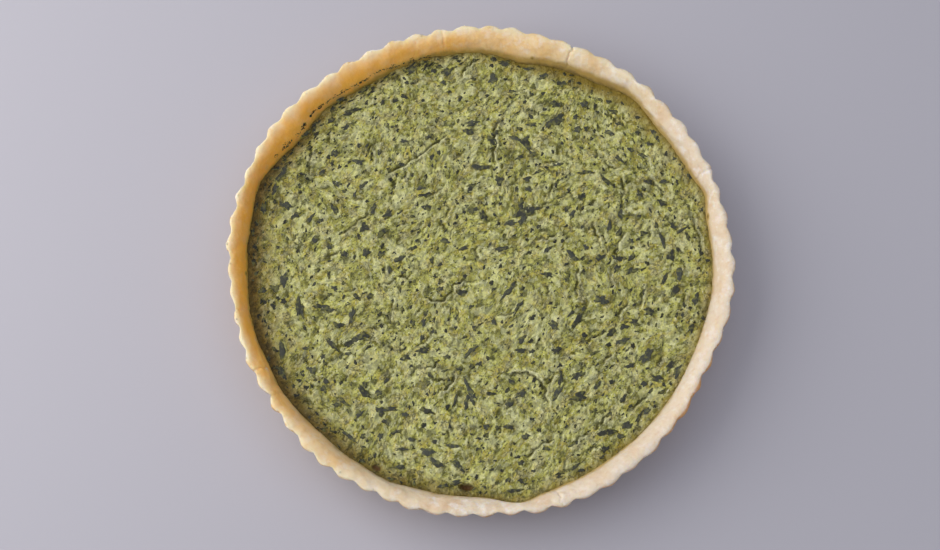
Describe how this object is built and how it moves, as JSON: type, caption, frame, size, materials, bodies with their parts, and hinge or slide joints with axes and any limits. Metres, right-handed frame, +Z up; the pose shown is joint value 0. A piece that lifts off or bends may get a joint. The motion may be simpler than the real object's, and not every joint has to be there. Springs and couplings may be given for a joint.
{
  "type": "spinach quiche",
  "caption": "Round spinach quiche: a fluted shortcrust case holding a set green filling a little below its rim.",
  "frame": {"origin": "middle of the base, on the surface that the quiche stands on", "axes": "+Z up through the middle of the quiche; it is round, so +X and +Y only follow the unevenness of its rim"},
  "size_m": [0.2387, 0.237, 0.0333],
  "materials": {
    "shortcrust": "pale baked shortcrust, dry and matt",
    "filling": "set yellow-green spinach custard with dark leaf scraps, moist and matt"
  },
  "bodies": {
    "root": {"pastry_case": "shortcrust", "spinach_filling": "filling"}
  },
  "joints": []
}
